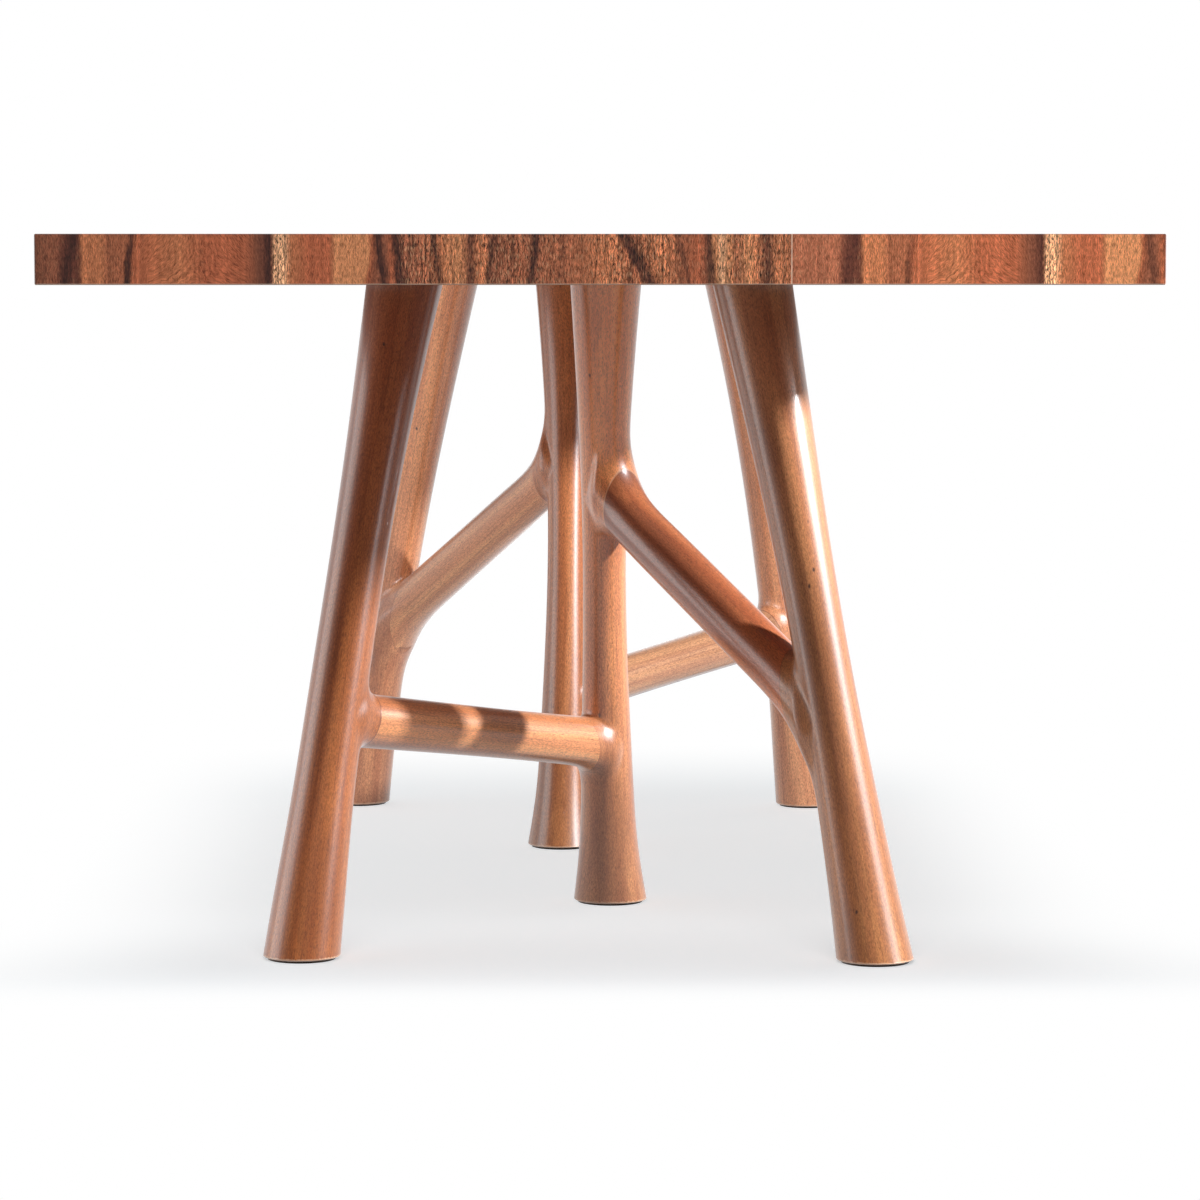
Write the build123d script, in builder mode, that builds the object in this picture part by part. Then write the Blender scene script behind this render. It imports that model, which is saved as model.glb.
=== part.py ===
from build123d import *
from dataclasses import dataclass
import os

# A dining table: a veneered slab top on two three-legged trestles of round, branch-like members.
# Frame: millimetres, +Z up, +Y along the top, origin on the floor under the middle of the top.

os.makedirs("parts", exist_ok=True)

# ------------------------------------------------------------------------------------- the top
table_height = 762.0
top_length = 2134.0
top_width = 1067.0
top_thickness = 48.0
veneer_thickness = 3.0
leaf_seam_x = 180.0  # where the two leaves of veneer meet, right of the middle
arris = 0.8  # the edges of the top are eased by this much

underside = table_height - top_thickness

# ------------------------------------------------------------------------------- the legs' feet
pad_thickness = 2.5
pad_inset = 5.0  # how far a pad stays back from the rim of its foot
foot_chamfer = 1.5

# ------------------------------------------------------------------- plates and their fasteners
plate_thickness = 5.0
plate_rim = 24.0  # how far a plate reaches past the head of its leg
plate_fit = 0.3  # gap around a plate in its recess
plate_screw_count = 4
plate_screw_length = 20.0
leg_screw_count = 3
leg_screw_circle = 13.0
leg_screw_length = 50.0
screw_radius = 3.0
screw_head_radius = 6.0
screw_head_angle = 90.0
screw_socket_radius = 2.0
screw_socket_depth = 2.0
screw_fit = 0.1
insert_wall = 2.5
insert_length = 16.0
insert_fit = 0.05

# ------------------------------------------------------------------- joints of legs and branches
boss_depth = 9.0  # a branch starts this far off the leg's surface, on a boss carved with the leg
tenon_radius = 9.0
tenon_reach = 33.0  # how far a loose tenon goes into each of the two pieces it joins
tenon_fit = 0.1
tenon_end_gap = 0.5

# ------------------------------------------------------------------- legs and branches in front
# Where each leg's middle line meets the floor and the top, in plan, and how far it bows sideways.
left_foot_x = -309.0
left_foot_y = -623.0
left_head_x = -202.0
left_head_y = -432.0
left_bow = -5.0
middle_foot_x = 26.0
middle_foot_y = -230.0
middle_head_x = 18.0
middle_head_y = -371.0
middle_bow = -4.0
right_foot_x = 296.0
right_foot_y = -656.0
right_head_x = 173.0
right_head_y = -491.0
right_bow = 2.0

# Shares of a leg's height at which its radius is given, from foot to head, and the same for a branch.
leg_stations = [0.0, 0.08, 0.21, 0.39, 0.59, 0.80, 1.0]
branch_stations = [0.0, 0.25, 0.5, 0.75, 1.0]


@dataclass
class Leg:
    """A round leg: where its foot and its head are in plan, how far it bows sideways, its radii."""

    foot: Vector
    head: Vector
    bow: float
    radii: list


@dataclass
class Branch:
    """A round branch from one leg's middle line to another's, and the radius of its two crotches."""

    start: Leg
    start_height: float
    end: Leg
    end_height: float
    radii: list
    crotch_radius: float


# The front trestle. The rear one is the same trestle turned half a turn about Z.
left_leg = Leg(
    foot=Vector(left_foot_x, left_foot_y),
    head=Vector(left_head_x, left_head_y),
    bow=left_bow,
    radii=[41.0, 38.5, 34.0, 31.5, 31.0, 34.5, 42.0],
)
middle_leg = Leg(
    foot=Vector(middle_foot_x, middle_foot_y),
    head=Vector(middle_head_x, middle_head_y),
    bow=middle_bow,
    radii=[42.0, 34.5, 29.5, 25.5, 24.5, 30.0, 39.5],
)
right_leg = Leg(
    foot=Vector(right_foot_x, right_foot_y),
    head=Vector(right_head_x, right_head_y),
    bow=right_bow,
    radii=[41.0, 37.5, 33.5, 30.0, 31.0, 36.5, 43.5],
)
low_branch = Branch(
    start=left_leg,
    start_height=248.5,
    end=middle_leg,
    end_height=186.5,
    radii=[27.5, 27.0, 26.5, 26.5, 24.5],
    crotch_radius=14.0,
)
high_branch = Branch(
    start=middle_leg,
    start_height=476.5,
    end=right_leg,
    end_height=246.0,
    radii=[23.0, 28.5, 29.0, 29.5, 26.5],
    crotch_radius=18.0,
)

trestle_legs = {"left": left_leg, "middle": middle_leg, "right": right_leg}
trestle_branches = {"low": low_branch, "high": high_branch}

# Each trestle's own words for its legs: turned half a turn, the left leg stands on the right.
trestles = {
    "front": {"turn": 0, "left": "left", "middle": "middle", "right": "right"},
    "rear": {"turn": 180, "left": "right", "middle": "middle", "right": "left"},
}


# ----------------------------------------------------------------------------------- geometry
def leg_share(height):
    """A height above the floor as a share of a leg's height from foot to head."""
    return (height - pad_thickness) / (underside - pad_thickness)


def leg_middle(leg, share):
    """The point on a leg's middle line at a share of its height."""
    plan = leg.foot + (leg.head - leg.foot) * share
    height = pad_thickness + share * (underside - pad_thickness)
    return Vector(plan.X + 4 * leg.bow * share * (1 - share), plan.Y, height)


def leg_direction(leg, share):
    """The direction of a leg's middle line, upwards."""
    step = 0.01
    return (leg_middle(leg, share + step) - leg_middle(leg, share - step)).normalized()


def leg_radius(leg, share):
    """The radius of a leg at a share of its height, between its stations."""
    spans = zip(leg_stations, leg_stations[1:], leg.radii, leg.radii[1:])
    for low, high, low_radius, high_radius in spans:
        if share <= high:
            return low_radius + (high_radius - low_radius) * (share - low) / (high - low)
    return leg.radii[-1]


def branch_ends(branch):
    """The points on the two legs' middle lines that a branch runs between."""
    start = leg_middle(branch.start, leg_share(branch.start_height))
    end = leg_middle(branch.end, leg_share(branch.end_height))
    return start, end


def joint_plane(branch, leg, height, towards):
    """The flat between a leg's boss and a branch: along the leg, boss_depth off its surface.

    Its origin is where the branch's middle line crosses it, and it faces the branch.
    """
    share = leg_share(height)
    along = leg_direction(leg, share)
    outward = (towards - along * towards.dot(along)).normalized()
    offset = leg_radius(leg, share) + boss_depth
    crossing = leg_middle(leg, share) + towards * (offset / towards.dot(outward))
    return Plane(origin=crossing, x_dir=along, z_dir=outward)


def joint_planes(branch):
    """The planes of a branch's two joints, each facing the branch."""
    start, end = branch_ends(branch)
    direction = (end - start).normalized()
    first = joint_plane(branch, branch.start, branch.start_height, direction)
    last = joint_plane(branch, branch.end, branch.end_height, direction * -1)
    return first, last


def screw(length, points_up):
    """A countersunk screw with a socket, its head's face at the origin, pointing up or down."""
    head_depth = screw_head_radius - screw_radius
    with BuildPart() as fastener:
        with BuildSketch(Plane.XZ):
            with BuildLine():
                Polyline(
                    (0, 0),
                    (screw_head_radius, 0),
                    (screw_radius, head_depth),
                    (screw_radius, length),
                    (0, length),
                    close=True,
                )
            make_face()
        revolve(axis=Axis.Z)
        with BuildSketch(Plane.XY):
            RegularPolygon(screw_socket_radius, 6)
        extrude(amount=screw_socket_depth, mode=Mode.SUBTRACT)
        if not points_up:
            mirror(about=Plane.XY, mode=Mode.REPLACE)
    return fastener.part


# ------------------------------------------------------------- the front trestle, in one piece
# The members are joined and their crotches rounded in one form, which the joints then cut apart,
# so that boss and branch meet without a step.
def leg_form(leg, inward):
    """One leg, lofted through level circles; the loft's seam faces away from the branches."""
    with BuildPart() as form:
        for share, radius in zip(leg_stations, leg.radii):
            with BuildSketch(Plane(leg_middle(leg, share), x_dir=inward * -1, z_dir=(0, 0, 1))):
                Circle(radius)
        loft()
        chamfer(form.edges().group_by(Axis.Z)[0], foot_chamfer)
    return form.part


def branch_form(branch):
    """One branch, lofted through circles square to its middle line."""
    start, end = branch_ends(branch)
    run = end - start
    with BuildPart() as form:
        for share, radius in zip(branch_stations, branch.radii):
            with BuildSketch(Plane(start + run * share, x_dir=Vector(run.Y, -run.X, 0), z_dir=run)):
                Circle(radius)
        loft()
    return form.part


feet_middle = (left_leg.foot + middle_leg.foot + right_leg.foot) * (1 / 3)
leg_forms = {name: leg_form(leg, feet_middle - leg.foot) for name, leg in trestle_legs.items()}
branch_forms = {name: branch_form(branch) for name, branch in trestle_branches.items()}

with BuildPart() as trestle_form:
    for form in leg_forms.values():
        add(form)
    for name, branch in trestle_branches.items():
        add(branch_forms[name])
        fillet(trestle_form.edges(Select.NEW), branch.crotch_radius)


def branch_zone(branch):
    """The room between a branch's two joint planes, wide enough for its flared ends."""
    start, end = branch_ends(branch)
    run = end - start
    first, last = joint_planes(branch)
    zone_width = 6 * max(branch.radii)
    with BuildPart() as zone:
        with BuildSketch(first):
            Rectangle(zone_width, zone_width)
        extrude(amount=run.length, dir=run)
        with BuildSketch(last):
            Rectangle(zone_width, zone_width)
        extrude(amount=run.length, dir=run * -1, mode=Mode.INTERSECT)
    return zone.part


def tenon(branch, plane, fit=0.0, end_gap=0.0):
    """A loose tenon across a joint, along the branch, or with a fit and gap, its mortises."""
    start, end = branch_ends(branch)
    reach = tenon_reach + end_gap
    with BuildPart() as pin:
        with BuildSketch(Plane(plane.origin, z_dir=end - start)):
            Circle(tenon_radius + fit)
        extrude(amount=reach, both=True)
    return pin.part


zones = {name: branch_zone(branch) for name, branch in trestle_branches.items()}
mortises = [
    tenon(branch, plane, tenon_fit, tenon_end_gap)
    for branch in trestle_branches.values()
    for plane in joint_planes(branch)
]

with BuildPart() as bored_form:
    add(trestle_form.part)
    for mortise in mortises:
        add(mortise, mode=Mode.SUBTRACT)

with BuildPart() as all_legs:
    add(bored_form.part)
    for zone in zones.values():
        add(zone, mode=Mode.SUBTRACT)

with BuildPart() as front_branch_tenons:
    for branch in trestle_branches.values():
        for plane in joint_planes(branch):
            add(tenon(branch, plane))


# --------------------------------------------------------------- plates, screws and inserts
def plate_radius(leg):
    return leg.radii[-1] + plate_rim


def plate_screw_circle(leg):
    """The screws into the top sit halfway out on the rim that reaches past the leg."""
    return leg.radii[-1] + plate_rim / 2


def leg_plate(leg):
    """The round plate on a leg's head, let in flush with the underside of the top."""
    with BuildPart() as plate:
        with BuildSketch(Plane.XY.offset(underside)):
            with Locations((leg.head.X, leg.head.Y)):
                Circle(plate_radius(leg))
        extrude(amount=plate_thickness)
        with BuildSketch(Plane.XY.offset(underside)):
            with Locations((leg.head.X, leg.head.Y)):
                with PolarLocations(plate_screw_circle(leg), plate_screw_count, 45):
                    Circle(screw_head_radius + screw_fit)
        extrude(amount=screw_head_radius - screw_radius, taper=screw_head_angle / 2, mode=Mode.SUBTRACT)
        with BuildSketch(Plane.XY.offset(underside)):
            with Locations((leg.head.X, leg.head.Y)):
                with PolarLocations(plate_screw_circle(leg), plate_screw_count, 45):
                    Circle(screw_radius + screw_fit)
                with PolarLocations(leg_screw_circle, leg_screw_count, 90):
                    Circle(screw_radius + screw_fit)
        extrude(amount=plate_thickness, mode=Mode.SUBTRACT)
        with BuildSketch(Plane.XY.offset(underside + plate_thickness)):
            with Locations((leg.head.X, leg.head.Y)):
                with PolarLocations(leg_screw_circle, leg_screw_count, 90):
                    Circle(screw_head_radius + screw_fit)
        extrude(amount=screw_radius - screw_head_radius, taper=screw_head_angle / 2, mode=Mode.SUBTRACT)
    return plate.part


plate_screw = screw(plate_screw_length, points_up=True)
leg_screw = screw(leg_screw_length, points_up=False)

with BuildPart() as insert_blank:
    with BuildSketch(Plane.XY.offset(underside + plate_thickness)):
        Circle(screw_radius + screw_fit + insert_wall)
        Circle(screw_radius + screw_fit, mode=Mode.SUBTRACT)
    extrude(amount=insert_length)

with BuildPart() as front_plate_screws:
    for leg in trestle_legs.values():
        with Locations((leg.head.X, leg.head.Y, underside)):
            with PolarLocations(plate_screw_circle(leg), plate_screw_count, 45, rotate=False):
                add(plate_screw)

with BuildPart() as front_inserts:
    for leg in trestle_legs.values():
        with Locations((leg.head.X, leg.head.Y, 0)):
            with PolarLocations(plate_screw_circle(leg), plate_screw_count, 45, rotate=False):
                add(insert_blank.part)

with BuildPart() as front_leg_screws:
    for leg in trestle_legs.values():
        with Locations((leg.head.X, leg.head.Y, underside + plate_thickness)):
            with PolarLocations(leg_screw_circle, leg_screw_count, 90, rotate=False):
                add(leg_screw)

# The screws' holes in the legs, and everything that is let into the top from below.
with BuildPart() as leg_screw_holes:
    for leg in trestle_legs.values():
        with BuildSketch(Plane.XY.offset(underside)):
            with Locations((leg.head.X, leg.head.Y)):
                with PolarLocations(leg_screw_circle, leg_screw_count, 90):
                    Circle(screw_radius + screw_fit)
        extrude(amount=plate_thickness - leg_screw_length)

with BuildPart() as front_recesses:
    for leg in trestle_legs.values():
        with BuildSketch(Plane.XY.offset(underside)):
            with Locations((leg.head.X, leg.head.Y)):
                Circle(plate_radius(leg) + plate_fit)
        extrude(amount=plate_thickness)
        with BuildSketch(Plane.XY.offset(underside + plate_thickness)):
            with Locations((leg.head.X, leg.head.Y)):
                with PolarLocations(plate_screw_circle(leg), plate_screw_count, 45):
                    Circle(screw_radius + screw_fit + insert_wall + insert_fit)
        extrude(amount=insert_length)

with BuildPart() as all_recesses:
    add(front_recesses.part)
    add(front_recesses.part, rotation=(0, 0, 180))


# ------------------------------------------------------------------------------------ the pads
def foot_pad(leg):
    with BuildPart() as pad:
        with BuildSketch():
            with Locations((leg.foot.X, leg.foot.Y)):
                Circle(leg.radii[0] - pad_inset)
        extrude(amount=pad_thickness)
    return pad.part


# ------------------------------------------------------------------------------------- the top
with BuildPart() as top_block:
    with BuildSketch(Plane.XY.offset(underside)):
        Rectangle(top_width, top_length)
    extrude(amount=top_thickness)
    chamfer(top_block.edges(), arris)

with BuildPart() as top_core:
    with BuildSketch(Plane.XY.offset(underside + veneer_thickness)):
        Rectangle(top_width - 2 * veneer_thickness, top_length - 2 * veneer_thickness)
    extrude(amount=top_thickness - 2 * veneer_thickness)
    add(all_recesses.part, mode=Mode.SUBTRACT)


def veneer_sheet(outer_face, width, height):
    """A sheet of veneer on one face of the top, mitred all round and eased with the top."""
    with BuildPart() as sheet:
        with BuildSketch(outer_face):
            Rectangle(width, height)
        extrude(amount=-veneer_thickness, taper=45)
        add(top_block.part, mode=Mode.INTERSECT)
    return sheet.part


def leaf(sheet, side):
    """The part of a sheet on one side of the seam between the two leaves."""
    seam = Plane(origin=(leaf_seam_x, 0, 0), x_dir=(0, 1, 0), z_dir=(1, 0, 0))
    with BuildPart() as part_sheet:
        add(sheet)
        split(bisect_by=seam, keep=Keep.BOTTOM if side == "left" else Keep.TOP)
    return part_sheet.part


top_face = Plane.XY.offset(table_height)
bottom_face = Plane(origin=(0, 0, underside), x_dir=(-1, 0, 0), z_dir=(0, 0, -1))
edge_middle = table_height - top_thickness / 2
front_face = Plane(origin=(0, -top_length / 2, edge_middle), x_dir=(1, 0, 0), z_dir=(0, -1, 0))
rear_face = Plane(origin=(0, top_length / 2, edge_middle), x_dir=(-1, 0, 0), z_dir=(0, 1, 0))
left_face = Plane(origin=(-top_width / 2, 0, edge_middle), x_dir=(0, -1, 0), z_dir=(-1, 0, 0))
right_face = Plane(origin=(top_width / 2, 0, edge_middle), x_dir=(0, 1, 0), z_dir=(1, 0, 0))

top_sheet = veneer_sheet(top_face, top_width, top_length)
front_sheet = veneer_sheet(front_face, top_width, top_thickness)
rear_sheet = veneer_sheet(rear_face, top_width, top_thickness)

with BuildPart() as underside_veneer:
    add(veneer_sheet(bottom_face, top_width, top_length))
    add(all_recesses.part, mode=Mode.SUBTRACT)


# ------------------------------------------------------------------------- writing the pieces
def write(part, name):
    part.label = name
    export_step(part, f"parts/{name}.step")


def nearest_solid(part, point):
    """The solid of a part whose middle is nearest a point."""
    return part.solids().sort_by_distance(point)[0]


def write_turned(part, name, turn):
    """Write a piece of the front trestle, or of the rear one when it is turned."""
    with BuildPart() as piece:
        add(part, rotation=(0, 0, turn))
    write(piece.part, name)


write(top_core.part, "top_core")
write(underside_veneer.part, "underside_veneer")
write(veneer_sheet(left_face, top_length, top_thickness), "left_edge_veneer")
write(veneer_sheet(right_face, top_length, top_thickness), "right_edge_veneer")
for side in ("left", "right"):
    write(leaf(top_sheet, side), f"top_veneer_{side}_leaf")
    write(leaf(front_sheet, side), f"front_edge_veneer_{side}_leaf")
    write(leaf(rear_sheet, side), f"rear_edge_veneer_{side}_leaf")

for trestle, words in trestles.items():
    for leg_name, leg in trestle_legs.items():
        with BuildPart() as leg_piece:
            add(nearest_solid(all_legs.part, leg_middle(leg, 0.5)))
            add(leg_screw_holes.part, mode=Mode.SUBTRACT)
        place = f"{trestle}_{words[leg_name]}"
        write_turned(leg_piece.part, f"{place}_leg", words["turn"])
        write_turned(leg_plate(leg), f"{place}_leg_plate", words["turn"])
        write_turned(foot_pad(leg), f"{place}_foot_pad", words["turn"])
    for branch_name, branch in trestle_branches.items():
        with BuildPart() as branch_piece:
            add(bored_form.part)
            add(zones[branch_name], mode=Mode.INTERSECT)
        write_turned(branch_piece.part, f"{trestle}_{branch_name}_branch", words["turn"])
    write_turned(front_branch_tenons.part, f"{trestle}_branch_tenons", words["turn"])

for name, group in (
    ("plate_screws", front_plate_screws),
    ("plate_inserts", front_inserts),
    ("leg_screws", front_leg_screws),
):
    with BuildPart() as both_trestles:
        add(group.part)
        add(group.part, rotation=(0, 0, 180))
    write(both_trestles.part, name)
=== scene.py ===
import math
from dataclasses import dataclass, field

import bmesh
import bpy
import numpy as np
from mathutils import Matrix, Vector


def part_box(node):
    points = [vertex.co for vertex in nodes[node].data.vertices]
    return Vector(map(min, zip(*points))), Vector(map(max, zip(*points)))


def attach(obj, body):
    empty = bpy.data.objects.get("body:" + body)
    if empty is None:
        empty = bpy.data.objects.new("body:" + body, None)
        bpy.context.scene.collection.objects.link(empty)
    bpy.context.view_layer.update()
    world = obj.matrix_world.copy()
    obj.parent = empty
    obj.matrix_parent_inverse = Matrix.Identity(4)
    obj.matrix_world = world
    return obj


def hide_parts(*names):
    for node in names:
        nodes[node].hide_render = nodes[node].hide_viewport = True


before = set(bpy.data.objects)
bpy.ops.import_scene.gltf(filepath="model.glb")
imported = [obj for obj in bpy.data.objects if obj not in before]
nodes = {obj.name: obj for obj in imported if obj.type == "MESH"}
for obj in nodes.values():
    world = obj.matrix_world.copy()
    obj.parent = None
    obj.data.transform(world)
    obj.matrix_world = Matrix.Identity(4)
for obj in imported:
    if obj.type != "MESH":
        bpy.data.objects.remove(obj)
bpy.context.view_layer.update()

# ------------------------------------------------------------------------------------- sizes
# Metres. The frame gives the levels and the places of feet and heads. The trestle that stands
# at the front is carved here, and the rear one is the same trestle turned half a turn.
underside_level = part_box("underside_veneer")[0].z
top_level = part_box("top_veneer_left_leaf")[1].z
foot_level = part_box("front_middle_foot_pad")[1].z
half_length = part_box("top_veneer_left_leaf")[1].y
half_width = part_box("top_veneer_right_leaf")[1].x
leaf_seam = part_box("top_veneer_right_leaf")[0].x
leaf_width = 0.729
edge_height = top_level - underside_level

boss_depth = 0.009
foot_chamfer = 0.0012
net_spacing = 0.0025
# a piece is skinned this far past a joint's flat, and cut there, as far as the cut reaches
skin_overlap = 0.005
cut_reach = 0.006
# how far from a branch's surface its joints may claim the surface of a leg
branch_room = 0.05

leg_stations = (0.0, 0.08, 0.21, 0.39, 0.59, 0.80, 1.0)
branch_stations = (0.0, 0.25, 0.5, 0.75, 1.0)


class Profile:
    """A smooth curve through a member's radii at its stations."""

    def __init__(self, stations, radii):
        self.stations, self.radii = np.array(stations), np.array(radii)
        span = np.diff(self.stations)
        rise = np.diff(self.radii) / span
        count = len(stations)
        bend = np.eye(count)
        pull = np.zeros(count)
        for i in range(1, count - 1):
            bend[i, i - 1 : i + 2] = span[i - 1], 2 * (span[i - 1] + span[i]), span[i]
            pull[i] = 6 * (rise[i] - rise[i - 1])
        self.curvature = np.linalg.solve(bend, pull)

    def __call__(self, share):
        share = np.clip(share, 0, 1)
        i = np.clip(np.searchsorted(self.stations, share) - 1, 0, len(self.stations) - 2)
        span = self.stations[i + 1] - self.stations[i]
        before = (self.stations[i + 1] - share) / span
        after = 1 - before
        arch = (before**3 - before) * self.curvature[i] + (after**3 - after) * self.curvature[i + 1]
        return before * self.radii[i] + after * self.radii[i + 1] + arch * span**2 / 6


def middle_of(node):
    low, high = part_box(node)
    return np.array((low + high) / 2)


@dataclass
class Leg:
    """A round leg, by where its foot and head stand in plan, its sideways bow and its radii."""

    name: str
    bow: float
    radii: tuple
    foot: np.ndarray = field(init=False)
    head: np.ndarray = field(init=False)

    def __post_init__(self):
        self.foot = middle_of(f"front_{self.name}_foot_pad")[:2]
        self.head = middle_of(f"front_{self.name}_leg_plate")[:2]
        lean = np.linalg.norm(self.head - self.foot) / (underside_level - foot_level)
        self.steepness = 1 / math.hypot(1, lean)
        self.profile = Profile(leg_stations, self.radii)


@dataclass
class Branch:
    """A round branch between two legs: its ends' heights, its radii and how it flows into them.

    At each end the side that makes the wide angle with the leg sweeps into it over sweep, and
    the other side, in the crotch, over crotch. Each glue says how its glue line shows.
    """

    name: str
    start: Leg
    start_height: float
    end: Leg
    end_height: float
    radii: tuple
    start_sweep: float
    start_crotch: float
    end_sweep: float
    end_crotch: float
    start_glue: float
    end_glue: float

    def __post_init__(self):
        self.start_point = leg_middle(self.start, self.start_height)
        self.end_point = leg_middle(self.end, self.end_height)
        self.length = np.linalg.norm(self.end_point - self.start_point)
        self.direction = (self.end_point - self.start_point) / self.length
        self.profile = Profile(branch_stations, self.radii)


def leg_share(height):
    """A height as a share of the way from a leg's foot to its head."""
    return (height - foot_level) / (underside_level - foot_level)


def leg_plan(leg, height):
    """Where a leg's middle line is, in plan, at a height or at each of several."""
    share = leg_share(height)
    x = leg.foot[0] + (leg.head[0] - leg.foot[0]) * share + 4 * leg.bow * share * (1 - share)
    y = leg.foot[1] + (leg.head[1] - leg.foot[1]) * share
    return x, y


def leg_middle(leg, height):
    return np.array((*leg_plan(leg, height), height))


def leg_direction(leg, height):
    step = 0.01
    run = leg_middle(leg, height + step) - leg_middle(leg, height - step)
    return run / np.linalg.norm(run)


def leg_radius(leg, height):
    return leg.profile(leg_share(height))


left_leg = Leg("left", -0.005, (0.041, 0.0385, 0.034, 0.0315, 0.031, 0.0345, 0.042))
middle_leg = Leg("middle", -0.004, (0.042, 0.0345, 0.0295, 0.0255, 0.0245, 0.030, 0.0395))
right_leg = Leg("right", 0.002, (0.041, 0.0375, 0.0335, 0.030, 0.031, 0.0365, 0.0435))

low_branch = Branch(
    name="low",
    start=left_leg,
    start_height=0.2485,
    end=middle_leg,
    end_height=0.1865,
    radii=(0.0300, 0.0285, 0.0275, 0.0275, 0.0290),
    start_sweep=0.030,
    start_crotch=0.020,
    end_sweep=0.040,
    end_crotch=0.012,
    start_glue=0.7,
    end_glue=0.2,
)
high_branch = Branch(
    name="high",
    start=middle_leg,
    start_height=0.4765,
    end=right_leg,
    end_height=0.246,
    radii=(0.027, 0.0285, 0.029, 0.0295, 0.0295),
    start_sweep=0.074,
    start_crotch=0.022,
    end_sweep=0.075,
    end_crotch=0.012,
    start_glue=-0.8,
    end_glue=0.25,
)

legs = (left_leg, middle_leg, right_leg)
branches = (low_branch, high_branch)


# ------------------------------------------------------------------- the carved form of a trestle
# Each member is a field: how far a point lies outside its surface. The members' fields are joined
# smoothly, so that branches grow out of the legs, and the pieces are skinned from the result.
def leg_field(leg, x, y, z):
    middle_x, middle_y = leg_plan(leg, z)
    across = np.hypot(x - middle_x, y - middle_y)
    return (across - leg_radius(leg, z)) * leg.steepness


def along_branch(branch, x, y, z):
    """How far along a branch a point lies, in metres from its start."""
    start, direction = branch.start_point, branch.direction
    return (x - start[0]) * direction[0] + (y - start[1]) * direction[1] + (z - start[2]) * direction[2]


def branch_field(branch, x, y, z):
    """The distance to a branch, how far along it the point is, and where round it."""
    inset = 0.008
    along = np.clip(along_branch(branch, x, y, z), inset, branch.length - inset)
    out_x = x - branch.start_point[0] - along * branch.direction[0]
    out_y = y - branch.start_point[1] - along * branch.direction[1]
    out_z = z - branch.start_point[2] - along * branch.direction[2]
    out = np.sqrt(out_x**2 + out_y**2 + out_z**2)
    share = along / branch.length
    rise = out_z / np.maximum(out, 1e-6)
    return out - branch.profile(share), share, rise


def smooth_step(value, low, high):
    share = np.clip((value - low) / (high - low), 0, 1)
    return share * share * (3 - 2 * share)


def smooth_join(first, second, reach):
    """The union of two fields, rounded where they are within reach of each other."""
    near = np.maximum(reach - np.abs(first - second), 0) / np.maximum(reach, 1e-5)
    return np.minimum(first, second) - near**3 * reach / 6


def leg_side(leg, towards, x, y, z):
    """1 on the side of a leg that faces a branch, falling to 0 on the side away from it."""
    middle_x, middle_y = leg_plan(leg, z)
    heading = towards[:2] / np.linalg.norm(towards[:2])
    out = (x - middle_x) * heading[0] + (y - middle_y) * heading[1]
    return smooth_step(out / leg_radius(leg, z), -0.1, 0.75)


def trestle_field(x, y, z):
    """How far a point lies outside the front trestle."""
    solid = leg_field(left_leg, x, y, z)
    for leg in legs[1:]:
        solid = np.minimum(solid, leg_field(leg, x, y, z))
    for branch in branches:
        distance, share, rise = branch_field(branch, x, y, z)
        upper = smooth_step(rise, -0.6, 0.9)
        # going down from its start, a branch makes the wide angle above, and at its end below
        start_reach = branch.start_crotch + (branch.start_sweep - branch.start_crotch) * upper
        start_reach = start_reach * leg_side(branch.start, branch.direction, x, y, z)
        end_reach = branch.end_sweep + (branch.end_crotch - branch.end_sweep) * upper
        end_reach = end_reach * leg_side(branch.end, -branch.direction, x, y, z)
        reach = start_reach + (end_reach - start_reach) * smooth_step(share, 0.35, 0.65)
        solid = smooth_join(solid, distance, reach)
    return solid


@dataclass
class Joint:
    """The flat between a leg's boss and a branch. It faces the branch.

    Its glue line shows dark from 0 to 1, or pale from 0 to -1.
    """

    leg: Leg
    branch: Branch
    origin: np.ndarray
    normal: np.ndarray
    glue_tone: float


def joint(branch, leg, height, towards, glue_tone):
    along = leg_direction(leg, height)
    outward = towards - along * towards.dot(along)
    outward = outward / np.linalg.norm(outward)
    offset = leg_radius(leg, height) + boss_depth
    origin = leg_middle(leg, height) + towards * (offset / towards.dot(outward))
    return Joint(leg, branch, origin, outward, glue_tone)


joints = [
    one
    for branch in branches
    for one in (
        joint(branch, branch.start, branch.start_height, branch.direction, branch.start_glue),
        joint(branch, branch.end, branch.end_height, -branch.direction, branch.end_glue),
    )
]


def past_joint(one, x, y, z):
    """How far past a joint's flat a point is, on the branch's side."""
    origin, normal = one.origin, one.normal
    return (x - origin[0]) * normal[0] + (y - origin[1]) * normal[1] + (z - origin[2]) * normal[2]


def near_branch(branch, x, y, z, room):
    distance, _, _ = branch_field(branch, x, y, z)
    return distance < room


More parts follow.
